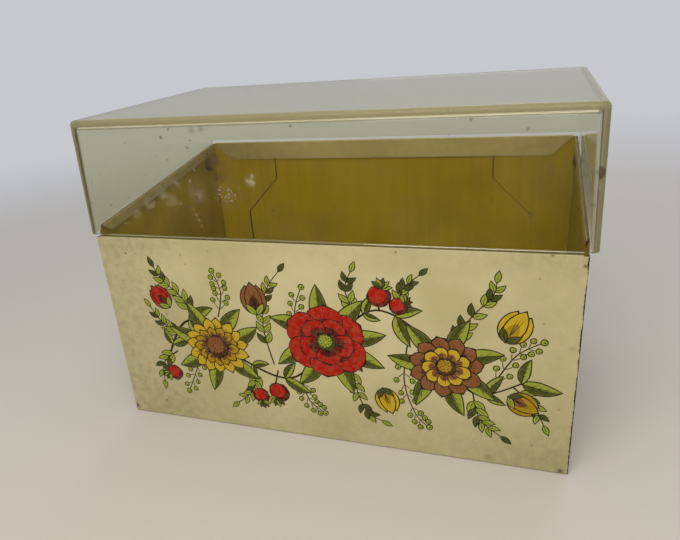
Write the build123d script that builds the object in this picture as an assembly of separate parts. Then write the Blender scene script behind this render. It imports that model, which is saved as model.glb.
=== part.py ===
from build123d import *
import os
from math import atan2, cos, degrees, hypot, sin, sqrt, tan, radians

# A card index tin. The open box is folded from three pieces of printed tinplate, and its clear
# moulded lid swings back on two rivets. Millimetres: X to the right, Y to the back, Z up.
# The origin is on the table, under the middle of the whole tin.

# The folded box
TIN_WIDTH = 133.0  # over the two end panels
TIN_DEPTH = 77.3  # over the front and back walls
FRONT_HEIGHT = 61.7  # to the top of the front rim
BACK_RISE = 12.7  # from the front rim up to the back rim
SHOULDER_RISE = 2.5  # from the front rim up to where an end panel's sloping rim starts
SHOULDER_SETBACK = 3.4  # from the front face back to that shoulder
STEP_SETBACK = 2.1  # from the front face back to the foot of the step up to the shoulder
SHEET = 0.3  # tinplate
BEND_RADIUS = 0.3  # inside a folded corner
CORNER_RELIEF = 0.4  # left open where two folds meet
HEM_GAP = SHEET  # a hem closes over one flange
FRONT_HEM = 4.5  # how far each rim is turned down inside the box
BACK_HEM = 6.5
SIDE_HEM = 3.3
HEM_INSET = 1.3  # a hem stops this far from the ends of its wall
HEM_CORNER = 1.6  # radius at a hem's lower corners
FLANGE_NARROW = 12.7  # what an end panel turns round each corner
FLANGE_WIDE = 26.0  # the same at the top of the back wall
FLANGE_STEP_DROP = 27.4  # from the back rim down to where the back flange starts to widen
FLOOR_FLANGE = 9.0
FLANGE_TUCK = 0.1  # a flange stops this far under the fold of the hem that covers it

# The lid
LID_HEIGHT = 32.6
LID_RIM_WALL = 1.1  # thickness of each wall at the lid's lower edge
LID_ROOF = 1.8
LID_DRAFT = 1.1  # degrees that each outer face leans in
LID_CORE_DRAFT = 1.85  # degrees that each inner face leans in, so that the walls thicken upwards
LID_SIDE_PLAY = 0.85  # between an end panel and the lid's side, at the lid's lower edge
LID_BACK_REACH = 0.9  # how far the lid's back stands out behind the tin's
LID_REST_GAP = 0.3  # over the front rim
LID_BACK_GAP = 1.0  # over the back rim
LID_CORNER = 1.2  # outer radius of the upright corners
LID_EDGE = 1.5  # radius round the roof
LID_INNER_CORNER = 1.8  # radius inside the upright corners, at the lid's lower edge
LID_INNER_EDGE = 0.8  # radius round the underside of the roof
LID_HEEL = 5.0  # radius at the lower back corner of each side

# The hinge
HINGE_SETBACK = 6.4  # from the tin's back face forward to the pivot
HINGE_DROP = 7.1  # from the back rim down to the pivot
SHANK_DIAMETER = 2.4
RUNNING_CLEARANCE = 0.08  # radial, in the end panel
LID_HOLE_CLEARANCE = 0.03  # radial, in the lid
HEAD_DIAMETER = 5.2  # inside the tin
HEAD_HEIGHT = 0.9
TAIL_DIAMETER = 4.0  # outside the lid
TAIL_HEIGHT = 0.8
HEAD_GAP = 0.1  # between a head and what it runs against
HEAD_RIM = 0.25  # straight edge of a head, below its dome

# Places that follow from the sizes
BACK_HEIGHT = FRONT_HEIGHT + BACK_RISE
SHOULDER_HEIGHT = FRONT_HEIGHT + SHOULDER_RISE
FLANGE_STEP_LOW = BACK_HEIGHT - FLANGE_STEP_DROP
LID_DEPTH = TIN_DEPTH + LID_BACK_REACH
FRONT_Y = -LID_DEPTH / 2
BACK_Y = FRONT_Y + TIN_DEPTH
HALF_WIDTH = TIN_WIDTH / 2
HALF_SHEET = SHEET / 2
BEND_CENTRE = BEND_RADIUS + HALF_SHEET  # radius of the sheet's middle in a folded corner
BEND_OUTER = BEND_RADIUS + SHEET
FOLD_CENTRE = (HEM_GAP + SHEET) / 2  # radius of the sheet's middle in a hem
FOLD_OUTER = FOLD_CENTRE + HALF_SHEET
LID_BOTTOM = FRONT_HEIGHT + LID_REST_GAP
LID_BACK_BOTTOM = BACK_HEIGHT + LID_BACK_GAP
LID_HALF_WIDTH = HALF_WIDTH + LID_SIDE_PLAY + LID_RIM_WALL
HINGE_Y = BACK_Y - HINGE_SETBACK
HINGE_Z = BACK_HEIGHT - HINGE_DROP
OVERSHOOT = 1.0  # a cutter runs this far past what it cuts


def ribbon(path):
    """Sheet metal seen edge on: the path is the middle of its thickness."""
    return trace(path, line_width=SHEET)


def hem(length, width, start_mitre, end_mitre):
    """A rim folded over and down. X runs along the rim, Y into the box and Z up the wall.
    The origin is the middle of the wall's sheet, where the fold begins."""
    centre = (FOLD_CENTRE, 0)
    fold_face = Circle(FOLD_OUTER) - Circle(FOLD_CENTRE - HALF_SHEET)
    fold_face &= Rectangle(2 * FOLD_OUTER, FOLD_OUTER, align=(Align.CENTER, Align.MIN))
    fold = extrude(Plane.YZ * (Pos(*centre) * fold_face), length)
    drop = width - FOLD_OUTER
    outline = Polyline(
        (0, 0), (length, 0), (length - end_mitre, -drop), (start_mitre, -drop), close=True
    )
    leaf_face = make_face(outline)
    low_corners = leaf_face.vertices().group_by(Axis.Y)[0]
    leaf_face = fillet(low_corners, HEM_CORNER)
    leaf_plane = Plane.XZ.offset(-(2 * FOLD_CENTRE + HALF_SHEET))
    leaf = extrude(leaf_plane * leaf_face, SHEET)
    return fold + leaf


def wrap():
    """Front wall, floor and back wall in one sheet, with a hemmed rim at each end."""
    front, back, floor = FRONT_Y + HALF_SHEET, BACK_Y - HALF_SHEET, HALF_SHEET
    front_fold, back_fold = FRONT_HEIGHT - FOLD_OUTER, BACK_HEIGHT - FOLD_OUTER
    path = FilletPolyline(
        (front, front_fold), (front, floor), (back, floor), (back, back_fold), radius=BEND_CENTRE
    )
    sheet = extrude(Plane.YZ * ribbon(path), HALF_WIDTH, both=True)
    length = TIN_WIDTH - 2 * HEM_INSET
    front_hem = hem(length, FRONT_HEM, FRONT_HEM, FRONT_HEM)
    back_hem = hem(length, BACK_HEM, BACK_HEM, BACK_HEM)
    front_place = Plane((-length / 2, front, front_fold), x_dir=(1, 0, 0), z_dir=(0, 0, 1))
    back_place = Plane((length / 2, back, back_fold), x_dir=(-1, 0, 0), z_dir=(0, 0, 1))
    return sheet + front_place * front_hem + back_place * back_hem


def left_end_panel():
    """One end wall with a flange inside the front, the back and the floor, and a hemmed rim."""
    wall_x = -HALF_WIDTH + HALF_SHEET
    front, back = FRONT_Y + SHEET + HALF_SHEET, BACK_Y - SHEET - HALF_SHEET
    floor = SHEET + HALF_SHEET
    fold_start = SHEET + BEND_OUTER + CORNER_RELIEF
    path = FilletPolyline(
        (-HALF_WIDTH + FLANGE_NARROW, front),
        (wall_x, front),
        (wall_x, back),
        (-HALF_WIDTH + FLANGE_WIDE, back),
        radius=BEND_CENTRE,
    )
    panel = Pos(0, 0, fold_start) * extrude(ribbon(path), BACK_HEIGHT)
    floor_path = FilletPolyline(
        (-HALF_WIDTH + FLOOR_FLANGE, floor),
        (wall_x, floor),
        (wall_x, fold_start + CORNER_RELIEF),
        radius=BEND_CENTRE,
    )
    floor_start = FRONT_Y + fold_start
    floor_length = BACK_Y - fold_start - floor_start
    floor_plane = Plane.XZ.offset(-floor_start - floor_length)
    panel += extrude(floor_plane * ribbon(floor_path), floor_length)

    # The rim rises at the slope that joins the shoulder to the back rim.
    run, rise = TIN_DEPTH - SHOULDER_SETBACK, BACK_HEIGHT - SHOULDER_HEIGHT
    slope = atan2(rise, run)
    shoulder_y = FRONT_Y + SHOULDER_SETBACK
    fold_drop = FOLD_OUTER / cos(slope)
    shoulder_z = SHOULDER_HEIGHT - fold_drop
    front_top = FRONT_HEIGHT - FOLD_OUTER - FLANGE_TUCK
    back_top = BACK_HEIGHT - FOLD_OUTER - FLANGE_TUCK
    flange_front = BACK_Y - SHEET - BEND_OUTER
    ceiling = BACK_HEIGHT + 2 * OVERSHOOT
    above = Polyline(
        (FRONT_Y, front_top),
        (FRONT_Y + STEP_SETBACK, front_top),
        (shoulder_y, shoulder_z),
        (flange_front, shoulder_z + (flange_front - shoulder_y) * tan(slope)),
        (flange_front, back_top),
        (BACK_Y + OVERSHOOT, back_top),
        (BACK_Y + OVERSHOOT, 2 * ceiling),
        (FRONT_Y, 2 * ceiling),
        close=True,
    )
    panel -= extrude(Plane.YZ * make_face(above), HALF_WIDTH + OVERSHOOT, both=True)

    # Below its wide top the back flange narrows at 45 degrees.
    inner, wide = -HALF_WIDTH + FLANGE_NARROW, -HALF_WIDTH + FLANGE_WIDE
    step_high = FLANGE_STEP_LOW + FLANGE_WIDE - FLANGE_NARROW
    beside = Polyline(
        (inner, 0),
        (inner, FLANGE_STEP_LOW),
        (wide, step_high),
        (wide + OVERSHOOT, step_high),
        (wide + OVERSHOOT, 0),
        close=True,
    )
    panel -= extrude(Plane.XZ.offset(-BACK_Y) * make_face(beside), SHEET + BEND_OUTER)

    hem_end = flange_front - CORNER_RELIEF
    length = (hem_end - shoulder_y) / cos(slope)
    place = Plane(
        (wall_x, shoulder_y, shoulder_z),
        x_dir=(0, cos(slope), sin(slope)),
        z_dir=(0, -sin(slope), cos(slope)),
    )
    # Along this rim the hem's own Y points out of the box, so it is turned end for end.
    turned = Pos(length, 0, 0) * Rot(0, 0, 180) * hem(length, SIDE_HEM, 0, SIDE_HEM)
    panel += place * turned
    hole = Cylinder(SHANK_DIAMETER / 2 + RUNNING_CLEARANCE, 2 * BEND_OUTER)
    return panel - Pos(wall_x, HINGE_Y, HINGE_Z) * Rot(0, 90, 0) * hole


def lid():
    """A clear moulded cap: its front stands on the front rim, and its sides hang outside the tin."""
    middle_y = FRONT_Y + LID_DEPTH / 2
    outer = RectangleRounded(2 * LID_HALF_WIDTH, LID_DEPTH, LID_CORNER)
    block = extrude(outer, LID_HEIGHT, taper=LID_DRAFT)
    block = fillet(block.faces().sort_by(Axis.Z)[-1].edges(), LID_EDGE)
    inner_half = LID_HALF_WIDTH - LID_RIM_WALL
    inner = RectangleRounded(2 * inner_half, LID_DEPTH - 2 * LID_RIM_WALL, LID_INNER_CORNER)
    core = extrude(inner, LID_HEIGHT - LID_ROOF, taper=LID_CORE_DRAFT)
    core = fillet(core.faces().sort_by(Axis.Z)[-1].edges(), LID_INNER_EDGE)
    shell = Pos(0, middle_y, LID_BOTTOM) * (block - core)

    # The back wall stops over the back rim, so that it can swing down behind the tin.
    lean = (LID_BACK_BOTTOM - LID_BOTTOM) * tan(radians(LID_CORE_DRAFT))
    low_middle = (Align.CENTER, Align.MIN, Align.MIN)
    gap = Box(2 * (inner_half - lean), LID_DEPTH, LID_BACK_BOTTOM, align=low_middle)
    shell -= Pos(0, HINGE_Y, 0) * gap

    # The lower back corner of each side is rounded.
    heel_y, heel_z = middle_y + LID_DEPTH / 2 - LID_HEEL, LID_BOTTOM + LID_HEEL
    corner = Rectangle(LID_HEEL + OVERSHOOT, LID_HEEL + OVERSHOOT, align=(Align.MIN, Align.MAX))
    corner -= Circle(LID_HEEL)
    shell -= extrude(Plane.YZ * (Pos(heel_y, heel_z) * corner), LID_HALF_WIDTH, both=True)
    hole = Cylinder(SHANK_DIAMETER / 2 + LID_HOLE_CLEARANCE, 2 * LID_HALF_WIDTH + OVERSHOOT)
    return shell - Pos(0, HINGE_Y, HINGE_Z) * Rot(0, 90, 0) * hole


def dome(x_seat, direction, diameter, height):
    """The half outline of a rivet head, from its seat out to the middle of its dome."""
    radius, rise = diameter / 2, height - HEAD_RIM
    ball = (radius**2 + rise**2) / (2 * rise)
    half_way = radius / 2
    sag = ball - sqrt(ball**2 - half_way**2)
    rim_x = x_seat + direction * HEAD_RIM
    top_x = x_seat + direction * height
    edge = Line((x_seat, radius), (rim_x, radius))
    arc = ThreePointArc((rim_x, radius), (top_x - direction * sag, half_way), (top_x, 0))
    return edge, arc


def left_rivet():
    """Headed inside the tin, and set over outside the lid."""
    lean = (HINGE_Z - LID_BOTTOM) * tan(radians(LID_DRAFT))
    head_seat = -HALF_WIDTH + SHEET + HEAD_GAP
    tail_seat = -(LID_HALF_WIDTH - lean) - HEAD_GAP
    shank = SHANK_DIAMETER / 2
    head_edge, head_arc = dome(head_seat, 1, HEAD_DIAMETER, HEAD_HEIGHT)
    tail_edge, tail_arc = dome(tail_seat, -1, TAIL_DIAMETER, TAIL_HEIGHT)
    outline = [
        Line((tail_seat, shank), (head_seat, shank)),
        Line((head_seat, shank), head_edge @ 0),
        head_edge,
        head_arc,
        Line(head_arc @ 1, tail_arc @ 1),
        tail_arc,
        tail_edge,
        Line(tail_edge @ 0, (tail_seat, shank)),
    ]
    rivet = revolve(make_face(outline), Axis.X)
    return Pos(0, HINGE_Y, HINGE_Z) * rivet


def main():
    os.makedirs("parts", exist_ok=True)
    end_panel, rivet = left_end_panel(), left_rivet()
    pieces = {
        "front_floor_back_wrap": wrap(),
        "left_end_panel": end_panel,
        "right_end_panel": mirror(end_panel, about=Plane.YZ),
        "clear_lid": lid(),
        "left_hinge_rivet": rivet,
        "right_hinge_rivet": mirror(rivet, about=Plane.YZ),
    }
    for name, piece in pieces.items():
        export_step(piece, f"parts/{name}.step")


main()
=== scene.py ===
"""The looks of a card index tin with a clear hinged lid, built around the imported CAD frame.

The box is folded from printed tinplate, so each sheet is modelled as its outer face, folded
up as a tinsmith folds it, and gets its thickness last. All sizes in the classes are millimetres.
"""

import logging
import math
import random
from collections.abc import Callable, Iterable, Sequence
from dataclasses import dataclass, field, replace
from enum import Enum
from functools import partial

import bmesh
import bpy
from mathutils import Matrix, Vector
from mathutils.geometry import delaunay_2d_cdt

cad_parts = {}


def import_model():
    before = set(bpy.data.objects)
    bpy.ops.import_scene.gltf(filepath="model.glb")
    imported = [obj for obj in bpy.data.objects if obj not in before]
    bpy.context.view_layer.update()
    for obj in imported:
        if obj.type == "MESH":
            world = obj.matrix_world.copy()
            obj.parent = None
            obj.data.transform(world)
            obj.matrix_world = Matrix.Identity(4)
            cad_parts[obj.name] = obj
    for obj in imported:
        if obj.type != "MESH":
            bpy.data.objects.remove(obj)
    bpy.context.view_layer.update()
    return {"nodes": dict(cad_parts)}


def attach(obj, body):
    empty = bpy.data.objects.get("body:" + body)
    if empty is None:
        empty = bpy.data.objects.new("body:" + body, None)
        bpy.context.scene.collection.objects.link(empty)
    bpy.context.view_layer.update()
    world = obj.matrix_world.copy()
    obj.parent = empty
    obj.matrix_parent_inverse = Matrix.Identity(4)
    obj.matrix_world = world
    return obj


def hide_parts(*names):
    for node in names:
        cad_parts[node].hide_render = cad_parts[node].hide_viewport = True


log = logging.getLogger("index_card_tin")

MM = 0.001
NEAR = 0.02  # millimetres within which two places count as one
WELD = 0.002  # millimetres within which two vertices are merged
BACKDROP = "#c6c8ce"
RAGGED = (0.45, 1.45)  # shares of its reach between which a stain fades out

Span = tuple[float, float]
Spot = tuple[float, float]  # X and Z on the front wall
Ring = list[Spot]
Place = tuple[float, float, float]
Stain = tuple[float, float, float, float, float]  # a mark's X, Y, Z and reach, and its strength
Band = tuple[float, float, float]  # where a band of grime, partly painted shade at the ends and foot, begins, where it is thickest, and how thick
Socket = bpy.types.NodeSocket
AddNode = Callable[..., bpy.types.Node]


# ---------------------------------------------------------------- modelling by hand


def near(value: float, target: float) -> bool:
    """Says whether two millimetre values are the same place."""
    return abs(value - target) < NEAR


def metres(place: Sequence[float]) -> tuple[float, ...]:
    """Turns millimetres into Blender's metres."""
    return tuple(value * MM for value in place)


def deselect() -> None:
    """Deselects every object, so that an operator acts only on what comes next."""
    bpy.ops.object.select_all(action="DESELECT")


def use(piece: bpy.types.Object) -> None:
    """Makes one piece the only selected and active object."""
    deselect()
    piece.select_set(True)
    bpy.context.view_layer.objects.active = piece


def edit() -> None:
    """Goes into edit mode with nothing selected."""
    bpy.ops.object.mode_set(mode="EDIT")
    select("VERT")


def leave() -> None:
    """Goes back to object mode."""
    bpy.ops.object.mode_set(mode="OBJECT")


def select(mode: str, action: str = "DESELECT") -> None:
    """Selects all or nothing, as vertices, edges or faces."""
    bpy.ops.mesh.select_mode(type=mode)
    bpy.ops.mesh.select_all(action=action)


def pick(test: Callable[[Vector], bool]) -> None:
    """Selects the vertices that pass a test, and what lies between them.

    Args:
        test: gets a vertex's place in millimetres.
    """
    select("VERT")
    shape = bmesh.from_edit_mesh(bpy.context.object.data)
    for vertex in shape.verts:
        vertex.select_set(test(vertex.co / MM))
    shape.select_flush_mode()
    bmesh.update_edit_mesh(bpy.context.object.data)


def pick_edges(
    each: Callable[[Vector], bool], both: Callable[[Vector, Vector], bool] = lambda a, b: True
) -> None:
    """Selects the edges whose ends pass a test each, and another one together.

    Args:
        each: gets the place of one end in millimetres.
        both: gets the places of both.
    """
    select("EDGE")
    shape = bmesh.from_edit_mesh(bpy.context.object.data)
    for edge in shape.edges:
        ends = [end.co / MM for end in edge.verts]
        edge.select_set(all(map(each, ends)) and both(*ends))
    bmesh.update_edit_mesh(bpy.context.object.data)


def pull(*step: float) -> None:
    """Extrudes the selected edges by a step in millimetres."""
    bpy.ops.mesh.extrude_region_move(TRANSFORM_OT_translate={"value": metres(step)})


def shift(*step: float) -> None:
    """Moves the selected vertices by a step in millimetres."""
    bpy.ops.transform.translate(value=metres(step))


def cut(place: Place, normal: Place) -> None:
    """Cuts the whole sheet along a plane, and keeps both sides."""
    bpy.ops.mesh.select_all(action="SELECT")
    bpy.ops.mesh.bisect(plane_co=metres(place), plane_no=normal)


def round_edges(radius: float, segments: int) -> None:
    """Bevels the selected square edges to a radius in millimetres."""
    bpy.ops.mesh.bevel(offset=radius * MM, segments=segments, affect="EDGES", clamp_overlap=False)


def round_corners(reach: float, segments: int) -> None:
    """Rounds the selected corners of a flat sheet, reach millimetres along their edges."""
    bpy.ops.mesh.bevel(offset=reach * MM, segments=segments, affect="VERTICES")


def heal() -> None:
    """Merges doubles and turns every face outwards."""
    bpy.ops.mesh.select_all(action="SELECT")
    bpy.ops.mesh.remove_doubles(threshold=WELD * MM)
    bpy.ops.mesh.normals_make_consistent(inside=False)


def modify(piece: bpy.types.Object, kind: str, **settings: object) -> None:
    """Adds one modifier to a piece and applies it."""
    use(piece)
    modifier = piece.modifiers.new(kind.title(), kind)
    for name, value in settings.items():
        setattr(modifier, name, value)
    bpy.ops.object.modifier_apply(modifier=modifier.name)


def smooth(piece: bpy.types.Object, angle: float = 32.0) -> None:
    """Shades a piece smooth under an angle in degrees, and keeps its flats flat."""
    use(piece)
    bpy.ops.object.shade_smooth_by_angle(angle=math.radians(angle))
    modify(piece, "WEIGHTED_NORMAL", keep_sharp=True, weight=100)


def settle(piece: bpy.types.Object, name: str) -> bpy.types.Object:
    """Names a piece and puts its place into its mesh, so that its object is at the origin."""
    piece.name = name
    use(piece)
    bpy.ops.object.transform_apply(location=True, rotation=True, scale=True)
    return piece


def block(low: Place, high: Place, name: str) -> bpy.types.Object:
    """Adds a block between two corners in millimetres, as a start or as a cutter."""
    deselect()
    middle = [(a + b) / 2 for a, b in zip(low, high)]
    bpy.ops.mesh.primitive_cube_add(size=MM, location=metres(middle))
    bpy.context.object.scale = [b - a for a, b in zip(low, high)]
    return settle(bpy.context.object, name)


def rod(place: Place, radius: float, length: float, name: str) -> bpy.types.Object:
    """Adds a rod along X, centred on a place, as a start or as a cutter."""
    deselect()
    bpy.ops.mesh.primitive_cylinder_add(
        vertices=48, radius=radius * MM, depth=length * MM,
        location=metres(place), rotation=(0, math.radians(90), 0),
    )
    return settle(bpy.context.object, name)


def carve(piece: bpy.types.Object, cutter: bpy.types.Object) -> None:
    """Cuts one closed shape out of another, and removes the cutter."""
    modify(piece, "BOOLEAN", operation="DIFFERENCE", solver="EXACT", object=cutter)
    bpy.data.objects.remove(cutter)


# ---------------------------------------------------------------- finishes


def linear(colour: str) -> tuple[float, float, float, float]:
    """Turns an sRGB hex colour into the linear one that shaders use."""
    parts = [int(colour[i : i + 2], 16) / 255 for i in (1, 3, 5)]
    curve = [p / 12.92 if p <= 0.04045 else ((p + 0.055) / 1.055) ** 2.4 for p in parts]
    return (curve[0], curve[1], curve[2], 1.0)


def per(size: float) -> float:
    """The scale of a pattern whose features are so many millimetres apart."""
    return 1 / (size * MM)


def add(
    tree: bpy.types.NodeTree, kind: str, inputs: dict | Sequence = (), **settings: object
) -> bpy.types.Node:
    """Adds one shader node.

    Args:
        tree: the node tree that it joins.
        kind: Blender's name for the node, without ShaderNode.
        inputs: what goes into its sockets, in their order, or by name or number. Each is a
            value, a socket of another node, or a node, which gives its first output in use.
        settings: the node's own options.

    Returns:
        The new node.
    """
    made = tree.nodes.new(f"ShaderNode{kind}")
    for name, value in settings.items():
        setattr(made, name, value)
    for name, value in inputs.items() if isinstance(inputs, dict) else enumerate(inputs):
        if isinstance(value, bpy.types.Node):
            value = next(output for output in value.outputs if output.enabled)
        if isinstance(value, bpy.types.NodeSocket):
            tree.links.new(value, made.inputs[name])
        else:
            made.inputs[name].default_value = value
    return made


def blank(name: str) -> tuple[bpy.types.Material, AddNode, Socket]:
    """Makes an empty material.

    Returns:
        The material, the call that adds a node to it, and its object coordinates.
    """
    material = bpy.data.materials.new(name)
    material.use_nodes = True
    material.node_tree.nodes.clear()
    node = partial(add, material.node_tree)
    return material, node, node("TexCoord").outputs["Object"]


def spread(
    node: AddNode, at: Socket, stains: Sequence[Stain], rough_edge: bpy.types.Node
) -> bpy.types.Node:
    """Builds the mask of some stains, each with a ragged edge.

    Args:
        node: adds a node to the material.
        at: object coordinates.
        stains: the stains to gather.
        rough_edge: a noise that breaks up their edges.

    Returns:
        The mask, from 0 to 1.
    """
    gathered = None
    for x, y, z, reach, strength in stains:
        away = node("VectorMath", (at, metres((x, y, z))), operation="DISTANCE")
        ragged = node("Math", (rough_edge, reach * MM, away), operation="MULTIPLY_ADD")
        fading = (ragged, *(share * reach * MM for share in RAGGED), strength, 0.0)
        mark = node("MapRange", fading, interpolation_type="SMOOTHSTEP")
        gathered = node("Math", (gathered, mark), operation="MAXIMUM") if gathered else mark
    return gathered


@dataclass(frozen=True)
class LithoTinplate:
    """Tinplate with an offset-printed cream ground under varnish.

    Its varnish is smooth and half glossy. It has yellowed unevenly, and grime sits along the rim.
    Towards both ends and the bottom bend it darkens, partly with grime and partly with painted
    shade where the light falls off, and the ground is chipped to dark metal at its cut ends.
    """

    name: str = "litho_tinplate_cream"
    ground: str = "#c5bb90"
    yellowed: str = "#b6ac7d"
    grime_and_shade_tone: str = "#857c57"
    speck_and_shadow: str = "#4c4326"
    bare: str = "#2a251c"
    sheen: float = 0.3  # the old varnish has dulled
    roughness: Span = (0.3, 0.48)
    blotch: float = 22.0  # millimetres between yellowed patches
    mottle: float = 2.6  # between smears of grime
    grain: float = 0.55  # between specks
    peel: float = 0.9  # ripple of the varnish
    buckle: float = 34.0  # long waves of the thin sheet
    yellowing: Span = (0.38, 0.66)  # levels of the noise where the varnish turns yellow
    smearing: tuple[float, ...] = (0.3, 0.78, 0.2, 0.75)  # levels, and how much grime they show
    all_over: float = 0.12  # the part of the grime that lies everywhere
    speckling: Span = (0.73, 0.65)  # where specks begin in the noise, clean and in full grime
    # Both ends and the foot darken with grime and with painted shade where the light falls off; the
    # rim band is grime.
    left_end: Band = (-26.0, -66.0, 0.85)
    right_end: Band = (30.0, 66.0, 0.35)
    rim: Band = (52.0, 61.5, 0.4)
    foot: Band = (22.0, 0.0, 0.6)
    chip_noise: float = 1.2  # millimetres that the chipped line wanders
    lopsided: float = 0.0028  # how much more the right end is chipped, for each millimetre
    chips: Span = (67.0, 67.15)
    middle: float = -0.42  # of the tin's depth
    wrapped: float = 38.3  # from there to the front and the back sheet
    rim_slope: float = 0.138  # of each end panel's rim, as rise over run
    rim_line: Span = (68.955, 69.015)  # where the dark line begins on its crest, where Y is 0
    rim_x: Span = (65.72, 65.8)  # and how far out
    gap_shadow_y: Span = (-38.35, -38.6)  # where the painted shadow of the gap under the lid begins on the front rim
    gap_shadow_z: Span = (61.42, 61.52)
    gap_shadow_top: float = 61.75
    stains: tuple[Stain, ...] = (
        (-57.5, -39.0, 56.5, 0.55, 1.0), (-58.5, -39.0, 50.0, 0.45, 0.7),
        (-38.0, -39.0, 54.0, 0.5, 0.6), (-47.5, -39.0, 37.5, 0.8, 0.6),
        (-30.0, -39.0, 58.3, 0.6, 0.5), (31.0, -39.0, 55.0, 0.5, 0.45),
        (63.0, -39.0, 20.0, 0.5, 0.6), (-66.0, -39.0, 2.0, 1.6, 1.0),
        (64.6, -39.0, 1.0, 1.3, 1.0), (56.4, -39.0, 55.3, 0.45, 0.7),
        (45.1, -39.0, 49.3, 0.5, 0.9), (58.0, -39.0, 43.7, 0.6, 0.5),
        (64.8, -39.0, 37.6, 1.4, 0.25), (57.2, -39.0, 7.9, 0.6, 0.6),
        (46.3, -39.0, 2.1, 1.8, 0.35), (22.8, -39.0, 60.4, 0.6, 0.9),
        (65.8, -39.0, 58.9, 0.8, 1.0), (58.8, -39.0, 61.2, 0.7, 0.7),
        (-51.5, -39.0, 36.9, 1.0, 0.4), (-53.9, -39.0, 5.8, 0.9, 0.7),
        (-39.1, -39.0, 56.8, 0.8, 0.45), (-49.6, -39.0, 54.1, 1.6, 0.3),
    )

    def make(self) -> bpy.types.Material:
        """Makes the material."""
        material, node, at = blank(self.name)
        x, y, z = node("SeparateXYZ", (at,)).outputs
        blotches = node("TexNoise", {"Vector": at, "Scale": per(self.blotch), "Detail": 5.0})
        grain = node("TexNoise", {"Vector": at, "Scale": per(self.grain), "Detail": 2.0})
        mottled = {"Scale": per(self.mottle), "Detail": 7.0, "Roughness": 0.68}
        mottling = node("TexNoise", {"Vector": at, **mottled})
        aged = node("MapRange", (blotches, *self.yellowing))
        # Bands of grime at the rim, and of grime and painted shade at both ends and the foot.
        edges = None
        for place, (start, end, most) in (
            (x, self.left_end), (x, self.right_end), (z, self.rim), (z, self.foot)
        ):
            reach = (place, start * MM, end * MM, 0.0, most)
            band = node("MapRange", reach, interpolation_type="SMOOTHSTEP")
            edges = node("Math", (edges, band), operation="ADD", use_clamp=True) if edges else band
        smear = node("MapRange", (mottling, *self.smearing))
        dirt_and_painted_shade = node("Math", (smear, edges), operation="MULTIPLY")
        dirt_and_painted_shade = node("Math", (smear, self.all_over, dirt_and_painted_shade), operation="MULTIPLY_ADD", use_clamp=True)
        # Fine specks, thicker in the bands of grime and painted shade.
        threshold = node("MapRange", (edges, 0.0, 1.0, *self.speckling))
        speckle = node("Math", (grain, threshold), operation="SUBTRACT")
        speckle = node("MapRange", (speckle, 0.0, 0.06, 0.0, 0.75))
        marks = spread(node, at, self.stains, mottling)
        speckle = node("Math", (speckle, marks), operation="MAXIMUM")
        # The cut ends of the wrap are chipped to bare metal.
        chip = node("Math", (x,), operation="ABSOLUTE")
        chip = node("Math", (mottling, self.chip_noise * MM, chip), operation="MULTIPLY_ADD")
        chip = node("Math", (x, self.lopsided, chip), operation="MULTIPLY_ADD")
        chipped = node("MapRange", (chip, *metres(self.chips)))
        panels = node("Math", (y, *metres((self.middle, self.wrapped))), operation="COMPARE")
        chipped = node("Math", (chipped, panels), operation="SUBTRACT", use_clamp=True)
        colour = linear(self.ground)
        # The last layer lays the rim lines, with the painted shadow of the gap under the lid, in the
        # speck colour.
        for cover, over in (
            (aged, self.yellowed), (dirt_and_painted_shade, self.grime_and_shade_tone), (speckle, self.speck_and_shadow),
            (chipped, self.bare), (self.rim_lines_and_gap_shadow(node, x, y, z), self.speck_and_shadow),
        ):
            colour = node("Mix", {0: cover, 6: colour, 7: linear(over)}, data_type="RGBA")
        ripple = node("TexNoise", {"Vector": at, "Scale": per(self.peel), "Detail": 1.0})
        waves = node("TexNoise", {"Vector": at, "Scale": per(self.buckle), "Detail": 0.0})
        relief = node("Bump", {"Height": waves, "Strength": 1.0, "Distance": 0.35 * MM})
        relief = node(
            "Bump", {"Height": ripple, "Strength": 0.35, "Distance": 0.02 * MM, "Normal": relief}
        )
        nicks = {"Height": speckle, "Strength": 0.5, "Distance": 0.03 * MM, "Normal": relief}
        shader = node("BsdfPrincipled", {
            "Base Color": colour,
            "Roughness": node("MapRange", (mottling, 0.3, 0.7, *self.roughness)),
            "Metallic": chipped,
            "Specular IOR Level": self.sheen,
            "Normal": node("Bump", nicks, invert=True),
        })
        node("OutputMaterial", {"Surface": shader})
        return material

    def rim_lines_and_gap_shadow(self, node: AddNode, x: Socket, y: Socket, z: Socket) -> bpy.types.Node:
        """Draws dark lines along the folds that the lid rests against: one along the crest of each
        end's hem, and on the front rim a painted shadow of the gap under the lid.

        Args:
            node: adds a node to the material.
            x: object coordinates, left to right.
            y: front to back.
            z: upwards.

        Returns:
            The mask, from 0 to 1.
        """
        along = node("Math", (y, -self.rim_slope, z), operation="MULTIPLY_ADD")
        across = node("Math", (x,), operation="ABSOLUTE")
        masks = [
            node("MapRange", (value, *metres(reach)))
            for value, reach in (
                (across, self.rim_x), (along, self.rim_line), (y, self.gap_shadow_y), (z, self.gap_shadow_z)
            )
        ]
        # The front line is painted shadow in the gap between the lid and the front rim.
        low = node("Math", (z, self.gap_shadow_top * MM), operation="LESS_THAN")
        side = node("Math", masks[:2], operation="MULTIPLY")
        fold = node("Math", masks[2:], operation="MULTIPLY")
        fold = node("Math", (fold, low), operation="MULTIPLY")
        return node("Math", (side, fold), operation="MAXIMUM")


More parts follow.
